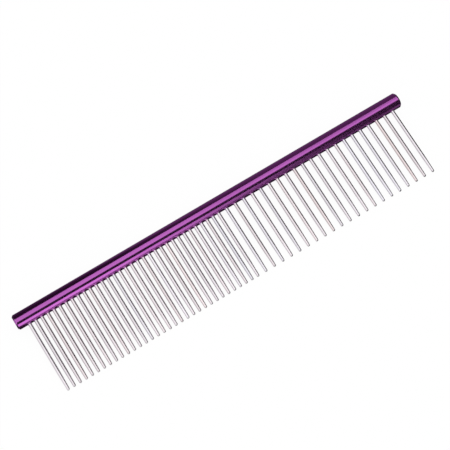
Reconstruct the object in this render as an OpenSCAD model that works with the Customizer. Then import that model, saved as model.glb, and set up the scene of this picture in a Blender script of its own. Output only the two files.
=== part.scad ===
// Grooming comb for pets: a round anodised aluminium spine with one straight row of
// polished stainless steel pins pressed into it, closely spaced along one stretch and
// widely spaced along the other.
// It lies flat, as on a bench: +X runs along the spine towards the coarse teeth, the
// teeth point towards -Y, and +Z is up. The underside of the spine and the tips of the
// teeth both touch Z = 0, and the origin is the centre of the outline on that surface.

/* [Spine] */
// Length of the spine, end face to end face
spine_l = 190.5; // [188:0.5:230]
// Diameter of the spine
spine_d = 6.9; // [6:0.1:12]
// Chamfer turned on both ends of the spine
spine_chamfer = 0.7; // [0.2:0.1:0.8]

/* [Tooth spacing] */
// Number of closely spaced teeth
fine_count = 33; // [2:1:34]
// Distance between neighbouring fine teeth
fine_pitch = 2.86; // [2.4:0.02:2.94]
// Number of widely spaced teeth
coarse_count = 21; // [2:1:21]
// Distance between neighbouring coarse teeth
coarse_pitch = 4.25; // [3:0.05:4.4]
// Distance from the last fine tooth to the first coarse tooth
group_gap = 4; // [2.5:0.1:7]
// Distance from the end face to the first fine tooth
end_margin = 5.1; // [2:0.1:8]

/* [Teeth] */
// Diameter of a tooth's straight shank
tooth_d = 1.6; // [1.4:0.1:1.8]
// Length of a tooth outside the spine
tooth_out_l = 32; // [20:1:45]
// Length of the ground taper that ends at the tip
taper_l = 8; // [4:1:15]
// Diameter of the rounded tip
tip_d = 1.24; // [0.8:0.02:1.3]

/* [Press fit] */
// Depth to which a tooth is pressed into the spine
seat_depth = 4.2; // [3:0.1:4.5]
// Lead-in chamfer on a tooth's pressed end
lead_in = 0.15; // [0.1:0.05:0.3]
// Width of the deburred edge around each hole's mouth
deburr = 0.15; // [0.1:0.05:0.2]
// Included angle of the drill point at the bottom of a hole
drill_angle = 118; // [90:2:140]

/* [Hidden] */
$fn = 64;
spine_r = spine_d / 2;
tooth_r = tooth_d / 2;
tip_r = tip_d / 2;

// Heights along a tooth, measured outwards from the spine's axis
seat_z = spine_r - seat_depth;
tip_z = spine_r + tooth_out_l;
tip_centre_z = tip_z - tip_r;
taper_z = tip_z - taper_l;

// A drilled hole: its pointed bottom, its mouth, and a top that clears the spine
drill_clear = 1;
drill_point_z = seat_z - tooth_r / tan(drill_angle / 2);
mouth_z = spine_r - deburr;
drill_top_z = spine_r + drill_clear;

// Lying flat, the tips sink until they and the spine touch the same surface
lie_angle = asin((spine_r - tip_r) / tip_centre_z);
lie_y = (tip_centre_z * cos(lie_angle) + tip_r - spine_r) / 2;

// Places of the teeth along the spine
fine_x = [for (i = [0 : fine_count - 1]) end_margin + i * fine_pitch - spine_l / 2];
coarse_x0 = fine_x[fine_count - 1] + group_gap;
coarse_x = [for (i = [0 : coarse_count - 1]) coarse_x0 + i * coarse_pitch];

function numbered(name, i) = str(name, i < 9 ? "0" : "", i + 1);
FINE = [for (i = [0 : fine_count - 1]) numbered("fine_tooth_", i)];
COARSE = [for (i = [0 : coarse_count - 1]) numbered("coarse_tooth_", i)];

// Tips the comb from its own plane down onto the surface that it lies on
module lying_flat() {
    translate([0, lie_y, spine_r]) rotate([lie_angle, 0, 0]) children();
}

// Sets a tooth's own axis, +Z outwards, at one place along the spine
module at_tooth(x) {
    translate([x, 0, 0]) rotate([90, 0, 0]) children();
}

// One drilled and deburred blind hole, as the solid that is taken away
module drilled_hole() {
    rotate_extrude() polygon([
        [0, drill_point_z],
        [tooth_r, seat_z],
        [tooth_r, mouth_z],
        [tooth_r + drill_top_z - mouth_z, drill_top_z],
        [0, drill_top_z],
    ]);
}

// The turned bar, before it is drilled
module turned_bar() {
    rotate([0, 90, 0]) rotate_extrude() polygon([
        [0, -spine_l / 2],
        [spine_r - spine_chamfer, -spine_l / 2],
        [spine_r, spine_chamfer - spine_l / 2],
        [spine_r, spine_l / 2 - spine_chamfer],
        [spine_r - spine_chamfer, spine_l / 2],
        [0, spine_l / 2],
    ]);
}

// Half the outline of a tooth: chamfered end, shank, taper and round tip
module tooth_outline() {
    polygon([
        [0, seat_z],
        [tooth_r - lead_in, seat_z],
        [tooth_r, seat_z + lead_in],
        [tooth_r, taper_z],
        [tip_r, tip_centre_z],
        [0, tip_centre_z],
    ]);
    intersection() {
        translate([0, tip_centre_z]) circle(tip_r);
        translate([0, tip_centre_z]) square(tip_r);
    }
}

module spine() {
    color("darkorchid") lying_flat() difference() {
        turned_bar();
        for (x = concat(fine_x, coarse_x)) at_tooth(x) drilled_hole();
    }
}

module tooth(x) {
    color("gainsboro") lying_flat() at_tooth(x) rotate_extrude() tooth_outline();
}

spine();
for (i = [0 : fine_count - 1])
    tooth(fine_x[i]);
for (i = [0 : coarse_count - 1])
    tooth(coarse_x[i]);
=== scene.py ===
import math
import random

import bmesh
import bpy
from mathutils import Matrix, Vector


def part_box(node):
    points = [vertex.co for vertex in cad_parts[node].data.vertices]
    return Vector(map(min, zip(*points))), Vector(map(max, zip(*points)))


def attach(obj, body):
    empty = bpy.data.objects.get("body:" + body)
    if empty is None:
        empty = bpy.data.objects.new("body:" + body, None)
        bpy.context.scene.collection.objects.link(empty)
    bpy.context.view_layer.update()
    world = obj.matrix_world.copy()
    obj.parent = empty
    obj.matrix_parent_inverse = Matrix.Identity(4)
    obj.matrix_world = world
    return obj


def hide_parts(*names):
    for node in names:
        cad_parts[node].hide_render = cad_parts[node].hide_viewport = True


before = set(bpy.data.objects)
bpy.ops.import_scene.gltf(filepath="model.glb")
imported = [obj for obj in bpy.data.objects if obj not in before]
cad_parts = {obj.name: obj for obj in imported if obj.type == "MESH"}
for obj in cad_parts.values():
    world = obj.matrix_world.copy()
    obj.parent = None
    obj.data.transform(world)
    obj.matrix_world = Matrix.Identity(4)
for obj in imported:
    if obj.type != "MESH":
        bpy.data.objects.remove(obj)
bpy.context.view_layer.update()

MM = 0.001

# ------------------------------------------------------------------ driving sizes, in metres
END_CHAMFER = 0.7 * MM     # turned on both ends of the spine
END_BREAK = 0.12 * MM      # small radius that tumbling leaves on both edges of that chamfer
SEAT_DEPTH = 4.2 * MM      # how far a tooth is pressed in
LEAD_IN = 0.15 * MM        # chamfer on a tooth's pressed end
DEBURR = 0.15 * MM         # broken edge around each hole
DRILL_POINT = math.radians(118) / 2
DRILL_CLEARANCE = 4 * DEBURR   # how far the drill's outline stands out of the bar
TAPER_LENGTH = 8 * MM      # ground taper at the tip
TAPER_BLEND = 0.7 * MM     # the grinding wheel's run-in, either side of the taper's start
# the run-in's outline: (place along it, fall by there), as shares of half its length and
# of the taper's fall over that
RUN_IN = ((-1, 0), (-0.33, 0.1), (0.33, 0.43), (1, 1))
TIP_RADIUS = 0.62 * MM

# ------------------------------------------------------------------ how finely it is meshed
SPINE_SEGMENTS = 192
TOOTH_SEGMENTS = 48
TIP_RINGS = 12
BREAK_RINGS = 5
SHARP_ANGLE = math.radians(30)
WALL_TOLERANCE = DEBURR / 10   # a face this close under the bar's radius is part of its wall

# ------------------------------------------------------------------ measures read off the frame
SPINE_LOW, SPINE_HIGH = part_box("spine")
SPINE_CENTRE = (SPINE_LOW + SPINE_HIGH) / 2
SPINE_RADIUS = (SPINE_HIGH.y - SPINE_LOW.y) / 2
SPINE_HALF_LENGTH = (SPINE_HIGH.x - SPINE_LOW.x) / 2
WALL_HALF_LENGTH = SPINE_HALF_LENGTH - END_CHAMFER
TOOTH_NODES = sorted(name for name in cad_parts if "_tooth_" in name)


def tip_centre(node):
    """Centre of the ball that rounds a tooth's tip."""
    low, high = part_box(node)
    return Vector(((low.x + high.x) / 2, low.y + TIP_RADIUS, low.z + TIP_RADIUS))


def tooth_root(node):
    """The point where a tooth's axis meets the spine's."""
    return Vector((tip_centre(node).x, SPINE_CENTRE.y, SPINE_CENTRE.z))


FIRST_TOOTH = TOOTH_NODES[0]
TOOTH_RADIUS = (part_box(FIRST_TOOTH)[1].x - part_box(FIRST_TOOTH)[0].x) / 2
TOOTH_REACH = tip_centre(FIRST_TOOTH) - tooth_root(FIRST_TOOTH)
TIP_CENTRE_HEIGHT = TOOTH_REACH.length
TAPER_START = TIP_CENTRE_HEIGHT + TIP_RADIUS - TAPER_LENGTH
TOOTH_ANGLE = math.atan2(-TOOTH_REACH.y, TOOTH_REACH.z)   # from straight up, about the row's X
TOOTH_TURN = Matrix.Rotation(TOOTH_ANGLE, 4, "X")


# ------------------------------------------------------------------ meshes
def rounded(profile, radius):
    """An open profile with every inner corner replaced by an arc."""
    points = [Vector(p) for p in profile]
    out = [points[0]]
    for before, corner, after in zip(points, points[1:], points[2:]):
        a, b = (before - corner).normalized(), (after - corner).normalized()
        half = a.angle(b) / 2
        centre = corner + (a + b).normalized() * radius / math.sin(half)
        reach = radius / math.tan(half)
        start, end = corner + a * reach - centre, corner + b * reach - centre
        for i in range(BREAK_RINGS):
            t = i / (BREAK_RINGS - 1)
            out.append(centre + (start * (1 - t) + end * t).normalized() * radius)
    return [tuple(p) for p in out + [points[-1]]]


def turned_mesh(name, profile, segments):
    """A closed solid turned about +Z. Its (radius, height) profile runs from axis to axis."""
    rings = profile[1:-1]
    verts = [(0, 0, profile[0][1]), (0, 0, profile[-1][1])]
    for radius, height in rings:
        for i in range(segments):
            a = 2 * math.pi * i / segments
            verts.append((radius * math.cos(a), radius * math.sin(a), height))

    def at(ring, i):
        return 2 + ring * segments + i % segments

    faces = []
    for i in range(segments):
        faces.append((0, at(0, i + 1), at(0, i)))
        for k in range(len(rings) - 1):
            faces.append((at(k, i), at(k, i + 1), at(k + 1, i + 1), at(k + 1, i)))
        faces.append((1, at(len(rings) - 1, i), at(len(rings) - 1, i + 1)))
    mesh = bpy.data.meshes.new(name)
    mesh.from_pydata(verts, [], faces)
    mesh.shade_smooth()
    mesh.set_sharp_from_angle(angle=SHARP_ANGLE)
    return mesh


def add_object(name, data, place=Matrix()):
    """Adds an object to the scene at a place in the row frame."""
    thing = bpy.data.objects.new(name, data)
    bpy.context.scene.collection.objects.link(thing)
    thing.matrix_world = place
    return thing


# ------------------------------------------------------------------ the spine
def spine_profile(hole_x):
    """Half outline of the bar: faced, chamfered ends, and a ring between every two holes."""
    end, wall = SPINE_HALF_LENGTH, SPINE_RADIUS
    corners = [(0, -end), (wall - END_CHAMFER, -end), (wall, END_CHAMFER - end), (wall, 0)]
    left = rounded(corners, END_BREAK)
    right = [(radius, -height) for radius, height in reversed(left)]
    middle = [(wall, (a + b) / 2) for a, b in zip(hole_x, hole_x[1:])]
    return left[:-1] + middle + right[1:]


def drill_profile():
    """The drill's outline: its point, its flutes and the countersink that breaks the edge."""
    seat = SPINE_RADIUS - SEAT_DEPTH
    mouth, top = SPINE_RADIUS - DEBURR, SPINE_RADIUS + DRILL_CLEARANCE
    return [
        (0, seat - TOOTH_RADIUS / math.tan(DRILL_POINT)),
        (TOOTH_RADIUS, seat),
        (TOOTH_RADIUS, mouth),
        (TOOTH_RADIUS + top - mouth, top),
        (0, top),
    ]


def merged(name, mesh, places):
    """Copies of one mesh, one at each place, as a single mesh."""
    verts, faces = [], []
    for place in places:
        base = len(verts)
        verts += [place @ v.co for v in mesh.vertices]
        faces += [[base + i for i in p.vertices] for p in mesh.polygons]
    whole = bpy.data.meshes.new(name)
    whole.from_pydata(verts, [], faces)
    return whole


def drilled(bar, drills):
    """The bar's mesh with the drills' mesh taken away from it."""
    cutter = add_object("drills", drills)
    cut = bar.modifiers.new("drilled", "BOOLEAN")
    cut.operation, cut.solver, cut.object = "DIFFERENCE", "EXACT", cutter
    depsgraph = bpy.context.evaluated_depsgraph_get()
    evaluated = bar.evaluated_get(depsgraph)
    mesh = bpy.data.meshes.new_from_object(evaluated, depsgraph=depsgraph)
    bar.modifiers.clear()
    bpy.data.objects.remove(cutter)
    return mesh


def ring_slopes(profile):
    """Radius, height and outward (radial, axial) normal of each ring of a turned outline."""
    slopes = []
    for before, here, after in zip(profile, profile[1:], profile[2:]):
        a = Vector((here[1] - before[1], before[0] - here[0])).normalized()
        b = Vector((after[1] - here[1], here[0] - after[0])).normalized()
        slopes.append((here[0], here[1], (a + b).normalized()))
    return slopes


def end_normal(point, slopes):
    """The turned outline's normal at the ring that a vertex of the bar's end lies on."""
    radius = math.hypot(point.x, point.y)
    at_middle = radius < DEBURR
    if at_middle:
        return Vector((0, 0, math.copysign(1, point.z)))
    slope = min(slopes, key=lambda s: abs(s[0] - radius) + abs(s[1] - point.z))[2]
    return Vector((slope.x * point.x / radius, slope.x * point.y / radius, slope.y))


def true_normals(mesh, profile):
    """Gives the drilled bar its turned shape's normals, so that no hole dents a reflection."""
    slopes = ring_slopes(profile)
    wall = SPINE_RADIUS - WALL_TOLERANCE
    straight = SPINE_HALF_LENGTH - 2 * END_CHAMFER
    normals = [None] * len(mesh.loops)
    for face in mesh.polygons:
        on_end = abs(face.center.z) > straight
        on_wall = math.hypot(face.center.x, face.center.y) > wall
        for loop in face.loop_indices:
            point = mesh.vertices[mesh.loops[loop].vertex_index].co
            if on_end:
                normals[loop] = end_normal(point, slopes)
            elif on_wall:
                normals[loop] = Vector((point.x, point.y, 0)).normalized()
            else:
                normals[loop] = face.normal.copy()
    mesh.normals_split_custom_set(normals)


def make_spine(material):
    """The turned bar, its own +Z along the row's +X, with every tooth's blind hole in it."""
    place = Matrix.Translation(SPINE_CENTRE) @ Matrix.Rotation(math.pi / 2, 4, "Y")
    roots = sorted((tooth_root(node) for node in TOOTH_NODES), key=lambda root: root.x)
    holes = [place.inverted() @ Matrix.Translation(root) @ TOOTH_TURN for root in roots]
    profile = spine_profile([hole.translation.z for hole in holes])
    spine = add_object("spine_bar", turned_mesh("bar", profile, SPINE_SEGMENTS))
    drill = turned_mesh("drill", drill_profile(), TOOTH_SEGMENTS)
    spine.data = drilled(spine, merged("drills", drill, holes))
    spine.matrix_world = place
    true_normals(spine.data, profile)
    fit_out(spine, "spine", material)


# ------------------------------------------------------------------ the teeth
# a wire's green, and its red and blue in parts of that
STEEL_GREEN, STEEL_RED, STEEL_BLUE = 0.655, 1.070, 1.056
# what one standard deviation of tone or warmth adds to them
TONE_SPREAD = 0.055
WARM_GREEN, WARM_RED, WARM_BLUE = -0.02, 0.023, -0.014
TINT_SEED = 11


def tooth_profile():
    """Half outline of a tooth: pressed end, shank, ground taper and round tip."""
    seat = SPINE_RADIUS - SEAT_DEPTH
    shank = [(0, seat), (TOOTH_RADIUS - LEAD_IN, seat), (TOOTH_RADIUS, seat + LEAD_IN)]
    slope = (TOOTH_RADIUS - TIP_RADIUS) / (TIP_CENTRE_HEIGHT - TAPER_START)
    run_in = [
        (TOOTH_RADIUS - slope * TAPER_BLEND * drop, TAPER_START + TAPER_BLEND * at)
        for at, drop in RUN_IN
    ]
    ball = []
    for i in range(TIP_RINGS):
        a = math.pi / 2 * i / TIP_RINGS
        ball.append((TIP_RADIUS * math.cos(a), TIP_CENTRE_HEIGHT + TIP_RADIUS * math.sin(a)))
    return shank + run_in + ball + [(0, TIP_CENTRE_HEIGHT + TIP_RADIUS)]


def steel_tint(chance):
    """A tooth's own tone: some wires a little darker and warmer, some paler and cooler."""
    warm, tone = chance.gauss(0, 1), chance.gauss(0, 1)
    green = STEEL_GREEN * (1 + WARM_GREEN * warm + TONE_SPREAD * tone)
    red = green * (STEEL_RED + WARM_RED * warm)
    blue = green * (STEEL_BLUE + WARM_BLUE * warm)
    return red, green, blue, 1


def make_teeth(material):
    """All the teeth share one mesh, since they differ only in their place and tone."""
    mesh = turned_mesh("pin", tooth_profile(), TOOTH_SEGMENTS)
    mesh.transform(TOOTH_TURN)
    chance = random.Random(TINT_SEED)
    for node in TOOTH_NODES:
        place = Matrix.Translation(tooth_root(node))
        tooth = add_object(node.replace("tooth", "pin"), mesh, place)
        tooth.color = steel_tint(chance)
        fit_out(tooth, node, material)


def fit_out(piece, node, material):
    """Finishes a piece and hands it to the frame in place of its CAD node."""
    if not piece.data.materials:
        piece.data.materials.append(material)
    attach(piece, "root")
    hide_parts(node)


# ------------------------------------------------------------------ materials
DYE = (0.40, 0.106, 0.415)     # the polished metal seen through it
DYE_LEVELS = (0.96, 1.04)      # how unevenly the bar took it
WORN_DYE = (0.62, 0.48, 0.64, 1)
WEAR_WIDTH = 0.2 * MM          # of the worn edge where the chamfer meets the wall
WEAR_NOISE = (0.42, 0.6)       # where in the noise's range the wear sets in and is full
WEAR_SHARE = 0.35              # how much of the dye is gone there
BAR_ROUGHNESS = (0.22, 0.25)   # between and on the polishing rings
BAR_SMEAR = 0.97               # anisotropy
QUARTER_TURN = 0.25
RING_DEPTH = 0.0006 * MM
SCRATCH_NOISE = (0.69, 0.74)   # the noise's few peaks, which are the scratches
SCRATCH_DEPTH = 0.5            # in ring depths
SCRATCH_ROUGHNESS = 0.06       # what a scratch adds
SHANK_ROUGHNESS, TAPER_ROUGHNESS = 0.12, 0.13
WIRE_LINE_DEPTH = 0.0005 * MM
WIRE_LINE_ROUGHNESS = 0.06     # what a line adds
SMUDGE_LEVELS = (0.97, 1.02)
BULK = (0.3, 0.7)              # the part of a noise's range that nearly all of it lies in

# a noise's features per metre along each of the piece's own axes
POLISHING_RINGS = (150, 150, 5200)
SCRATCHES = (900, 900, 6000)
DYE_CLOUDS = (120, 120, 25)
WEAR_PATCHES = (1500, 1500, 1500)
DRAWN_LINES = (7000, 7000, 60)
GRINDING_RINGS = (600, 600, 9000)
SMUDGES = (300, 300, 110)

# a Mix node's sockets for colours
MIX_FACTOR, MIX_A, MIX_B, MIX_RESULT = 0, 6, 7, 2


class Nodes:
    """A short way to write a node tree."""

    def __init__(self, name):
        self.material = bpy.data.materials.new(name)
        self.material.use_nodes = True
        self.tree = self.material.node_tree
        self.bsdf = self.tree.nodes["Principled BSDF"]
        self.place = self.add("ShaderNodeTexCoord").outputs["Object"]

    def add(self, kind, inputs=None, **settings):
        node = self.tree.nodes.new(kind)
        for key, value in settings.items():
            setattr(node, key, value)
        for key, value in (inputs or {}).items():
            self.set(node.inputs[key], value)
        return node

    def set(self, socket, value):
        if isinstance(value, bpy.types.NodeSocket):
            self.tree.links.new(value, socket)
        else:
            socket.default_value = value

    def surface(self, **values):
        for key, value in values.items():
            self.set(self.bsdf.inputs[key.replace("_", " ")], value)

    def math(self, operation, a, b=0.0):
        node = self.add("ShaderNodeMath", operation=operation)
        self.set(node.inputs[0], a)
        self.set(node.inputs[1], b)
        return node.outputs[0]

    def axes(self, vector):
        return self.add("ShaderNodeSeparateXYZ", {"Vector": vector}).outputs

    def noise(self, scale, detail=2.0):
        """Noise stretched by its number of features per metre along each axis."""
        stretched = self.add("ShaderNodeMapping", {"Vector": self.place, "Scale": scale})
        inputs = {"Vector": stretched.outputs["Vector"], "Scale": 1.0, "Detail": detail}
        return self.add("ShaderNodeTexNoise", inputs).outputs["Fac"]

    def remap(self, value, low, high, to_low=0.0, to_high=1.0):
        """An S-shaped step from to_low, up to low, to to_high, from high on."""
        inputs = {"Value": value, "From Min": low, "From Max": high,
                  "To Min": to_low, "To Max": to_high}
        node = self.add("ShaderNodeMapRange", inputs, interpolation_type="SMOOTHSTEP")
        return node.outputs["Result"]

    def near(self, value, place, width):
        """1 at a place, fading to 0 at a width to either side of it."""
        off = self.math("ABSOLUTE", self.math("SUBTRACT", value, place))
        return self.remap(off, width / 4, width, 1.0, 0.0)

    def mix(self, factor, a, b):
        """The colour a at factor 0, and b at 1."""
        node = self.add("ShaderNodeMix", data_type="RGBA")
        for socket, value in ((MIX_FACTOR, factor), (MIX_A, a), (MIX_B, b)):
            self.set(node.inputs[socket], value)
        return node.outputs[MIX_RESULT]

    def scaled(self, colour, factor):
        """A colour made darker or lighter by a factor."""
        node = self.add("ShaderNodeVectorMath", {"Scale": factor}, operation="SCALE")
        self.set(node.inputs[0], colour)
        return node.outputs["Vector"]

    def bump(self, height, depth):
        node = self.add("ShaderNodeBump", {"Height": height, "Strength": 1.0, "Distance": depth})
        return node.outputs["Normal"]


def anodised_aluminium():
    """Bright dipped, purple dyed bar. Polishing in the round left fine rings, which smear
    reflections along the bar but keep them crisp across it."""
    n = Nodes("anodised_aluminium")
    x, y, along = n.axes(n.place)
    rings = n.noise(POLISHING_RINGS, detail=3)
    scratches = n.remap(n.noise(SCRATCHES, detail=1), *SCRATCH_NOISE)
    dye = n.remap(n.noise(DYE_CLOUDS), *BULK, *DYE_LEVELS)
    square = n.math("ADD", n.math("MULTIPLY", x, x), n.math("MULTIPLY", y, y))
    edge = n.math("MULTIPLY", n.near(n.math("SQRT", square), SPINE_RADIUS, WEAR_WIDTH),
                  n.near(n.math("ABSOLUTE", along), WALL_HALF_LENGTH, WEAR_WIDTH))
    patchy = n.remap(n.noise(WEAR_PATCHES), *WEAR_NOISE, 0.0, WEAR_SHARE)
    n.surface(
        Base_Color=n.mix(n.math("MULTIPLY", edge, patchy), n.scaled(DYE, dye), WORN_DYE),
        Metallic=1.0,
        Roughness=n.math("ADD", n.remap(rings, *BULK, *BAR_ROUGHNESS),
                         n.math("MULTIPLY", scratches, SCRATCH_ROUGHNESS)),
        Anisotropic=BAR_SMEAR,
        Anisotropic_Rotation=QUARTER_TURN,
        Tangent=n.add("ShaderNodeTangent", direction_type="RADIAL", axis="Z").outputs["Tangent"],
        Normal=n.bump(n.math("SUBTRACT", rings, n.math("MULTIPLY", scratches, SCRATCH_DEPTH)),
                      RING_DEPTH),
    )
    return n.material


def stainless_steel():
    """Bright drawn wire: fine lines along it, and rings left by grinding on its taper."""
    n = Nodes("stainless_steel")
    turn_back = {"Vector": n.place, "Angle": -TOOTH_ANGLE}
    n.place = n.add("ShaderNodeVectorRotate", turn_back, rotation_type="X_AXIS").outputs["Vector"]
    height = n.axes(n.place)[2]
    drawn, ground = n.noise(DRAWN_LINES), n.noise(GRINDING_RINGS)
    on_taper = n.remap(height, TAPER_START - TAPER_BLEND, TAPER_START + TAPER_BLEND)
    smudges = n.remap(n.noise(SMUDGES), *BULK, *SMUDGE_LEVELS)
    tint = n.add("ShaderNodeObjectInfo").outputs["Color"]
    lines = n.math("ADD", drawn, n.math("MULTIPLY", on_taper, n.math("SUBTRACT", ground, drawn)))
    smooth = n.remap(on_taper, 0.0, 1.0, SHANK_ROUGHNESS, TAPER_ROUGHNESS)
    n.surface(
        Base_Color=n.scaled(tint, smudges),
        Metallic=1.0,
        Roughness=n.math("ADD", smooth, n.math("MULTIPLY", lines, WIRE_LINE_ROUGHNESS)),
        Normal=n.bump(lines, WIRE_LINE_DEPTH),
    )
    return n.material


# ------------------------------------------------------------------ camera
CAMERA_LENS = 110
CAMERA_AZIMUTH = math.radians(-31.9)
CAMERA_ELEVATION = math.radians(71.02)
CAMERA_DISTANCE = 0.58101
CAMERA_AIM = Vector((1.0, 6.73, 3.0)) * MM
CAMERA_CLIP = (0.01, 20)


def make_camera():
    """The camera stands at its azimuth and elevation around the point that it looks at."""
    lens = bpy.data.cameras.new("camera")
    lens.lens = CAMERA_LENS
    lens.clip_start, lens.clip_end = CAMERA_CLIP
    level = math.cos(CAMERA_ELEVATION)
    back = Vector((math.sin(CAMERA_AZIMUTH) * level, -math.cos(CAMERA_AZIMUTH) * level,
                   math.sin(CAMERA_ELEVATION)))
    turn = back.to_track_quat("Z", "Y").to_matrix().to_4x4()
    place = Matrix.Translation(CAMERA_AIM + back * CAMERA_DISTANCE) @ turn
    bpy.context.scene.camera = add_object("camera", lens, place)


# ------------------------------------------------------------------ studio
TABLE_HALF = 4.0
TABLE_GLOW = 0.955         # a light table: white acrylic lit from below
TABLE_FACE = 0.045         # the share of its whiteness that is lit from above, and can be shaded
SKY_LIGHT = 1.0

DOME_RADIUS = 6.0
DOME_SEGMENTS = 64
DOME_BLACK = 0.02          # the unlit studio's own glow
SOFT_EDGE = 0.03           # half the width of a panel's edge, where it has no other
EVERYWHERE = 9             # past any direction's x, y or z

# The dome's panels are bounded in the x, y and z of the direction towards them.
ABOVE_TABLE = (-0.06, 0.06)            # z over which what stands above the table begins
OVERHEAD_DEPTH = (-0.335, 0.492)
OVERHEAD_RIGHT = 0.44
OVERHEAD_REACH = 0.3                   # how much further right it reaches in front
OVERHEAD_REACH_END = (-0.03, 0.16)     # y over which it stops doing so
OVERHEAD_GRADE = (-1.0, -0.4)          # x over which it brightens
OVERHEAD_LEVELS = (0.8, 1.27)
SHEEN_CENTRE = (-0.6, 0.1, -0.8)
SHEEN_EDGE = 0.62                      # as its direction's dot product with the centre
SHEEN_DEPTH = (-0.1, 0.45)
SHEEN_SOFT_EDGE = 0.06
SHEEN_LEVEL = 0.95
BACK_WALL_FRONT = 0.5
BACK_WALL_LEFT = (0.10, 0.26)          # x over which it begins
BACK_WALL_GRADE = (0.1, 0.8)           # z over which it darkens
BACK_WALL_LEVELS = (0.28, 0.13)
FRONT_WALL_BACK = -0.5
FRONT_WALL_HEIGHTS = (-0.64, -0.03)
FRONT_WALL_SOFT_EDGE = 0.06
FRONT_WALL_LEFT = (0.14, 0.30)         # x over which it begins
FRONT_WALL_LEVEL = 0.38
SIDE_WALLS_START = (0.58, 0.8)         # x to either side over which they begin
SIDE_WALLS_FOOT = (-0.2, 0.2)          # z over which they begin
SIDE_WALLS_GAP = (-0.05, 0.55)         # y between which they are left out
SIDE_WALLS_SOFT_EDGE = 0.08
SIDE_WALLS_LEVEL = 0.7

# The strip light and the card stand upright, across the row's Y, and are laid out in metres.
STRIP_DISTANCE = 0.15      # in front of the row's origin, towards the tips
STRIP_ENDS = (-0.3, 0.5)
STRIP_HEIGHTS = (-0.008, 0.119)
STRIP_FOOT = (-0.016, 0.016)   # the heights over which its light fades out downwards
STRIP_FADE = (-0.045, 0.09)    # the stretch over which it fades out to the right
STRIP_LIGHT = 1.86
CARD_DISTANCE = 0.12       # behind the row's origin
CARD_ENDS = (-0.2, 0.25)
CARD_HEIGHTS = (-0.15, 0.17)
CARD_EDGE = (-0.051, -0.021)   # where its lit part begins at table height
CARD_LEAN = 0.62           # how far that edge moves right per metre up
CARD_LEVELS = (0.03, 0.165)
CARD_FOOT = (-0.03, 0.06)  # the heights over which the table's glow on it fades out upwards
CARD_FOOT_LEVEL = 0.06
CARD_TINT = (1.0, 0.74, 1.0)   # what it gives back of each colour


def make_table():
    """The floor, a light table. The metal mirrors the dome's lower panels in its place."""
    half = TABLE_HALF
    mesh = bpy.data.meshes.new("table")
    corners = [(-half, -half, 0), (half, -half, 0), (half, half, 0), (-half, half, 0)]
    mesh.from_pydata(corners, [], [(0, 1, 2, 3)])
    n = Nodes("light_table")
    n.surface(Base_Color=(TABLE_FACE, TABLE_FACE, TABLE_FACE, 1), Roughness=1.0,
              Specular_IOR_Level=0.0, Emission_Color=(1, 1, 1, 1), Emission_Strength=TABLE_GLOW)
    mesh.materials.append(n.material)
    table = add_object("floor", mesh)
    table.visible_glossy = False


def make_sky():
    """Soft white from everywhere for the table. The metal mirrors the dome's panels instead."""
    world = bpy.data.worlds.new("studio")
    bpy.context.scene.world = world
    world.use_nodes = True
    sky = world.node_tree.nodes["Background"]
    sky.inputs["Color"].default_value = (1, 1, 1, 1)
    sky.inputs["Strength"].default_value = SKY_LIGHT
    world.cycles_visibility.glossy = False


def window(n, value, low, high, soft=SOFT_EDGE):
    """1 where value is between low and high, with soft edges."""
    rise = n.remap(value, low - soft, low + soft)
    fall = n.remap(value, high + soft, high - soft)
    return n.math("MULTIPLY", rise, fall)


def product(n, first, *others):
    """The product of two or more values."""
    for other in others:
        first = n.math("MULTIPLY", first, other)
    return first


def overhead(n, x, y, z):
    """The main soft box. Its right edge draws in towards the back, so that the teeth's
    right flanks mirror the dark beyond it."""
    reach = n.remap(y, *OVERHEAD_REACH_END, -OVERHEAD_REACH, 0.0)
    return product(
        n, window(n, y, *OVERHEAD_DEPTH),
        window(n, n.math("ADD", x, reach), -EVERYWHERE, OVERHEAD_RIGHT),
        n.remap(z, *ABOVE_TABLE), n.remap(x, *OVERHEAD_GRADE, *OVERHEAD_LEVELS))


def table_sheen(n, direction, y):
    """The light table to the lower left, as the metal mirrors it."""
    towards = n.add("ShaderNodeVectorMath", operation="DOT_PRODUCT")
    n.set(towards.inputs[0], direction)
    n.set(towards.inputs[1], SHEEN_CENTRE)
    return product(
        n, window(n, towards.outputs["Value"], SHEEN_EDGE, EVERYWHERE, SHEEN_SOFT_EDGE),
        window(n, y, *SHEEN_DEPTH, SHEEN_SOFT_EDGE), SHEEN_LEVEL)


def back_wall(n, x, y, z):
    """A dim wall behind, darker towards its top and unlit on the left."""
    return product(
        n, window(n, y, BACK_WALL_FRONT, EVERYWHERE), n.remap(z, *ABOVE_TABLE),
        n.remap(x, *BACK_WALL_LEFT), n.remap(z, *BACK_WALL_GRADE, *BACK_WALL_LEVELS))


def front_wall(n, x, y, z):
    """The light table to the front and right, as the metal mirrors it."""
    return product(
        n, window(n, y, -EVERYWHERE, FRONT_WALL_BACK),
        window(n, z, *FRONT_WALL_HEIGHTS, FRONT_WALL_SOFT_EDGE),
        n.remap(x, *FRONT_WALL_LEFT, 0.0, FRONT_WALL_LEVEL))


def side_walls(n, x, y, z):
    """White walls to the left and right, with a dark gap in line with the spine."""
    gap = window(n, y, *SIDE_WALLS_GAP, SIDE_WALLS_SOFT_EDGE)
    return product(
        n, n.remap(n.math("ABSOLUTE", x), *SIDE_WALLS_START), n.remap(z, *SIDE_WALLS_FOOT),
        n.math("SUBTRACT", 1.0, gap), SIDE_WALLS_LEVEL)


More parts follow.
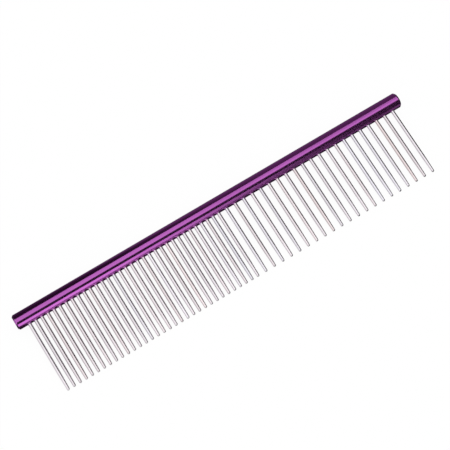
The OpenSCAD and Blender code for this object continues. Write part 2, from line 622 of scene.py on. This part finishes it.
def dome_panels(n):
    """All the light that comes from the dome in each direction."""
    normalised = n.add("ShaderNodeVectorMath", operation="NORMALIZE")
    n.set(normalised.inputs[0], n.place)
    direction = normalised.outputs["Vector"]
    x, y, z = n.axes(direction)
    panels = (overhead(n, x, y, z), table_sheen(n, direction, y), back_wall(n, x, y, z),
              front_wall(n, x, y, z), side_walls(n, x, y, z))
    total = DOME_BLACK
    for panel in panels:
        total = n.math("ADD", panel, total)
    return total


def add_light(n, mesh, strength, colour=(1, 1, 1)):
    """Turns a mesh into an emitter that only reflections see."""
    n.tree.nodes.remove(n.bsdf)
    glow = n.add("ShaderNodeEmission", {"Strength": strength, "Color": (*colour, 1)})
    n.tree.links.new(glow.outputs[0], n.tree.nodes["Material Output"].inputs["Surface"])
    n.material.cycles.emission_sampling = "NONE"
    mesh.materials.append(n.material)
    light = add_object(mesh.name, mesh)
    light.visible_camera = light.visible_diffuse = light.visible_shadow = False


def make_dome():
    """The dim studio and the large panels around it."""
    mesh = bpy.data.meshes.new("dome")
    shell = bmesh.new()
    bmesh.ops.create_uvsphere(
        shell, u_segments=DOME_SEGMENTS, v_segments=DOME_SEGMENTS // 2, radius=DOME_RADIUS)
    shell.to_mesh(mesh)
    shell.free()
    n = Nodes("dome")
    add_light(n, mesh, dome_panels(n))


def upright_sheet(name, y, ends, heights):
    """A flat sheet that stands across the row's Y, between two ends and two heights."""
    (left, right), (low, high) = ends, heights
    corners = [(left, low), (right, low), (right, high), (left, high)]
    mesh = bpy.data.meshes.new(name)
    mesh.from_pydata([(x, y, z) for x, z in corners], [], [(0, 1, 2, 3)])
    return mesh


def make_strip_light():
    """A low strip light close in front of the teeth, fading out towards its right end."""
    mesh = upright_sheet("strip_light", -STRIP_DISTANCE, STRIP_ENDS, STRIP_HEIGHTS)
    n = Nodes("strip_light")
    along, _, height = n.axes(n.place)
    add_light(n, mesh, product(n, n.remap(along, *STRIP_FADE, STRIP_LIGHT, 0.0),
                               n.remap(height, *STRIP_FOOT)))


def make_grey_card():
    """A dim card close behind the spine, lit to the right of a leaning edge."""
    mesh = upright_sheet("grey_card", CARD_DISTANCE, CARD_ENDS, CARD_HEIGHTS)
    n = Nodes("grey_card")
    along, _, height = n.axes(n.place)
    upright = n.math("SUBTRACT", along, n.math("MULTIPLY", height, CARD_LEAN))
    lit = n.remap(upright, *CARD_EDGE, *CARD_LEVELS)
    glow = n.remap(height, *CARD_FOOT, CARD_FOOT_LEVEL, 0.0)
    add_light(n, mesh, n.math("ADD", lit, glow), CARD_TINT)


make_camera()
make_spine(anodised_aluminium())
make_teeth(stainless_steel())
make_table()
make_sky()
make_dome()
make_strip_light()
make_grey_card()
bpy.context.scene.view_settings.view_transform = "Standard"
